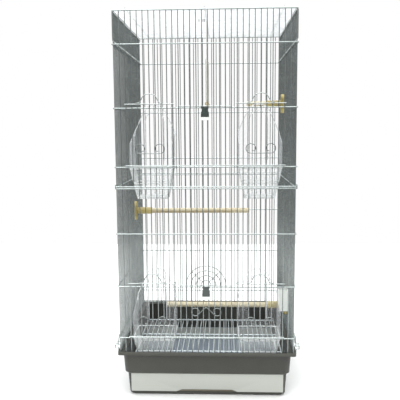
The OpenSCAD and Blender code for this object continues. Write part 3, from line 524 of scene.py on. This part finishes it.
def cup_beads(place):
    """Beads around the rim, the half height and the foot of one clear cup. Their shape follows the cup;
    their near-opaque white is painted highlight along its edges.
    """
    c0, c1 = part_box(place + "_cup")
    g0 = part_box(place + "_seed_guard")[0]
    rim, foot = g0[2], c0[2]
    x0, x1, y0, y1 = c0[0], c1[0], g0[1] - CUP_FRONT_REACH, c1[1]

    def bead(name, z, part, radius, room, corner):
        """One bead at height z, where the cup has drawn in by part of its lean."""
        side, front = CUP_LEAN * part, CUP_FRONT_LEAN * part
        bm = bmesh.new()
        loop = round_rect(x0 + side + room, x1 - side - room, y0 + front + room, y1 - side - room, z, corner)
        sweep(bm, loop, radius, True)
        new_piece(place + name, bm, "rim", place + "_cup_unit")

    bead("_cup_lip", rim - RIM_BEAD - 0.0002, 0.0, RIM_BEAD, RIM_BEAD, 0.0065)
    bead("_cup_step", rim + (foot - rim) * 0.5, 0.5, RIM_BEAD * 0.8, RIM_BEAD, 0.006)
    bead("_cup_foot", foot + FOOT_BEAD, 1.0, FOOT_BEAD, FOOT_BEAD * 0.8, 0.006)


def guard_beads(place):
    """Beads along the outline of one seed guard and around its feeding hole: its clear edges, painted
    near-opaque white as highlight lines.
    """
    g0, g1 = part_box(place + "_seed_guard")
    body = place + "_cup_unit"
    mid = (g0[0] + g1[0]) / 2
    half = (g1[0] - g0[0]) / 2 - GUARD_INSET
    back = g1[1] - 0.001
    sill = g0[2] + GUARD_FOOT
    shoulder = sill + GUARD_SHOULDER
    centre = g1[2] - GUARD_TOP_R
    low = shoulder - GUARD_EDGE_DROP
    top_r = GUARD_TOP_R - GUARD_INSET
    outline = [(mid - half, back, low), (mid - half, back, shoulder)]
    outline += arch(mid, back, centre, top_r, top_r, 160, 12)
    outline += [(mid + half, back, shoulder), (mid + half, back, low)]
    bm = bmesh.new()
    sweep(bm, outline, GUARD_BEAD)
    new_piece(place + "_guard_edge", bm, "rim", body)
    hole = HOLE_HALF + GUARD_INSET
    foot = sill + 0.012
    path = [(mid - hole, back, foot)]
    path += arch(mid, back, centre - HOLE_DROP, hole, hole, 180, 16)
    path.append((mid + hole, back, foot))
    bm = bmesh.new()
    sweep(bm, path, GUARD_BEAD)
    new_piece(place + "_hole_edge", bm, "rim", body)


def lift_loop(place):
    """The raised wire loop in the middle of a feeder door's top rail."""
    d0, d1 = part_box(place + "_feeder_door")
    mid = (d0[0] + d1[0]) / 2
    y = d0[1] + DOOR_RAIL_R
    rail = d1[2] - DOOR_RAIL_R
    end = ((0.034, 0.0024), (0.028, 0.0028), (0.0235, 0.006))
    path = [(mid - x, y, rail + z) for x, z in end]
    path += arch(mid, y, rail + LOOP_CENTRE, LOOP_HALF_W, LOOP_RISE, 165, 14)
    path += [(mid + x, y, rail + z) for x, z in reversed(end)]
    bm = bmesh.new()
    sweep(bm, path, LOOP_WIRE_R)
    new_piece(place + "_lift_loop", bm, "rail", place + "_feeder_gate")


def paint_recess_shade():
    """A thin dark sheet in the finger recess under the drawer's front: painted shade, tinted the brown of
    the base lip seen through the recess.
    """
    d0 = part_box("drawer_tray")[0]
    front = d0[1] + 0.0029
    z0 = d0[2] + 0.0003
    bm = bmesh.new()
    outline = (
        (-GRIP_HALF_FOOT, 0.0), (GRIP_HALF_FOOT, 0.0),
        (GRIP_HALF_HEAD, GRIP_HEIGHT), (-GRIP_HALF_HEAD, GRIP_HEIGHT),
    )
    f = bm.faces.new([bm.verts.new((x, front, z0 + z)) for x, z in outline])
    grown = bmesh.ops.extrude_face_region(bm, geom=[f])
    for v in grown["geom"]:
        if isinstance(v, bmesh.types.BMVert):
            v.co.y -= GRIP_THICK
    obj = new_piece("drawer_recess_shade", bm, "shade_fill", "drawer")
    m = obj.modifiers.new("round", "BEVEL")
    m.width = 0.0004
    m.segments = 2


# ---------- run ----------

place_camera()
make_world()
make_floor()
area_light("key", (-1.2, -2.6, 2.9), (0, 0, 0.45), (2.2, 1.8), 34)
area_light("fill", (2.2, -2.0, 1.9), (0, 0, 0.4), (1.8, 1.8), 10)
area_light("top", (0.0, 0.2, 3.2), (0, 0, 0), (2.6, 2.6), 34)
area_light("back", (0.0, 2.6, 2.9), (0, 0, 0.5), (3.0, 1.6), 18)

kinds = make_materials()
dress_nodes(kinds)
for width, names in SOFT_EDGES:
    for name in names:
        soften(name, width)

for obj in nodes.values():
    for p in obj.data.polygons:
        p.use_smooth = True
    obj.data.set_sharp_from_angle(angle=math.radians(35))
for height in ("lower", "upper"):
    for side in ("left", "right"):
        cup_beads(height + "_" + side)
        guard_beads(height + "_" + side)
        lift_loop(height + "_" + side)
paint_recess_shade()

scene.view_settings.view_transform = "Standard"
